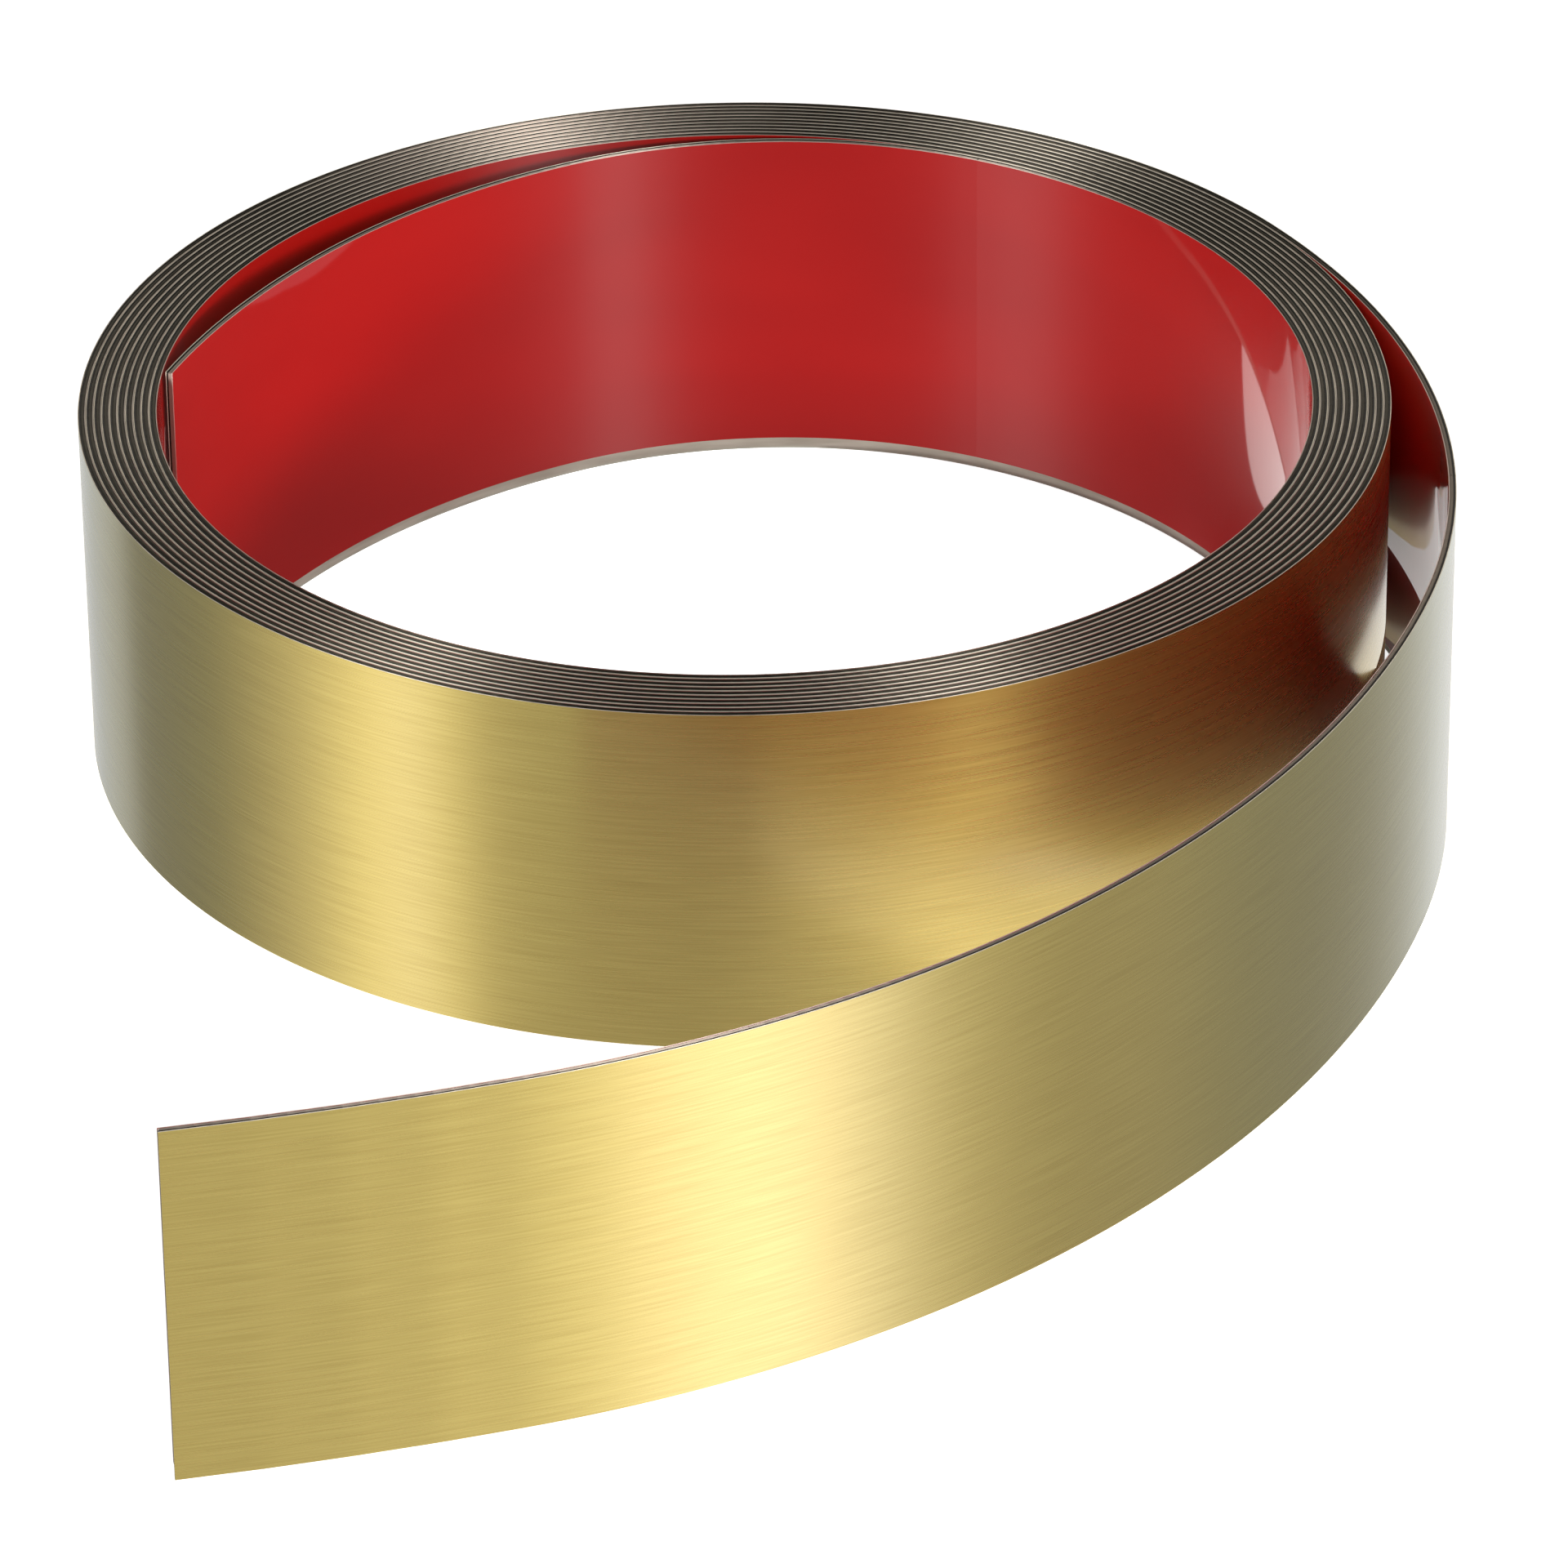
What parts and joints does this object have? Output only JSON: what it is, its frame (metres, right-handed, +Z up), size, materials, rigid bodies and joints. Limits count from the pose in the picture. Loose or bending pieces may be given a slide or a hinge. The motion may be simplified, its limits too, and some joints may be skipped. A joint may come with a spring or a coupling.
{
  "type": "self-adhesive foil strip roll",
  "caption": "Open coil of brushed-gold self-adhesive strip with a red release liner, a free tail and a free inner end.",
  "frame": {"origin": "centre of the coil's open middle, on the plane that the strip's lower edge stands on", "axes": "+Z up along the coil axis, across the width of the strip; -Y is the side that the free tail sweeps across; the strip winds outward clockwise seen from +Z"},
  "size_m": [0.1488, 0.2225, 0.04],
  "materials": {
    "brushed_gold_foil": "brushed along the strip, satin",
    "dark_backing": "glossy cut edges",
    "adhesive_foam": "satin, tacky",
    "red_liner": "glossy film"
  },
  "bodies": {
    "coil": {"foil_coil": "brushed_gold_foil", "backing_coil": "dark_backing", "adhesive_coil": "adhesive_foam", "liner_coil": "red_liner"},
    "inner_end": {"foil_inner_end": "brushed_gold_foil", "backing_inner_end": "dark_backing", "adhesive_inner_end": "adhesive_foam", "liner_inner_end": "red_liner"},
    "tail_root": {"foil_tail_root": "brushed_gold_foil", "backing_tail_root": "dark_backing", "adhesive_tail_root": "adhesive_foam", "liner_tail_root": "red_liner"},
    "tail_end": {"foil_tail_end": "brushed_gold_foil", "backing_tail_end": "dark_backing", "adhesive_tail_end": "adhesive_foam", "liner_tail_end": "red_liner"},
    "pull_tab": {"liner_pull_tab": "red_liner"}
  },
  "joints": [
    {"name": "inner_end_flex", "type": "hinge", "parent": "coil", "child": "inner_end", "pos_m": [0.02803, 0.05647, 0.02], "axis": [0, 0, 1], "range_deg": [0, 20], "stiffness_Nm_per_rad": 0.09},
    {"name": "tail_unwind", "type": "hinge", "parent": "coil", "child": "tail_root", "pos_m": [0.06111, 0.03746, 0.02], "axis": [0, 0, 1], "range_deg": [0, 25], "stiffness_Nm_per_rad": 0.09},
    {"name": "tail_curl", "type": "hinge", "parent": "tail_root", "child": "tail_end", "pos_m": [0.05824, -0.07923, 0.02], "axis": [0, 0, 1], "range_deg": [-18, 20], "stiffness_Nm_per_rad": 0.09},
    {"name": "liner_peel", "type": "hinge", "parent": "tail_end", "child": "pull_tab", "pos_m": [-0.02696, -0.14274, 0.02], "axis": [0, 0, -1], "range_deg": [0, 80], "stiffness_Nm_per_rad": 0.0003}
  ]
}
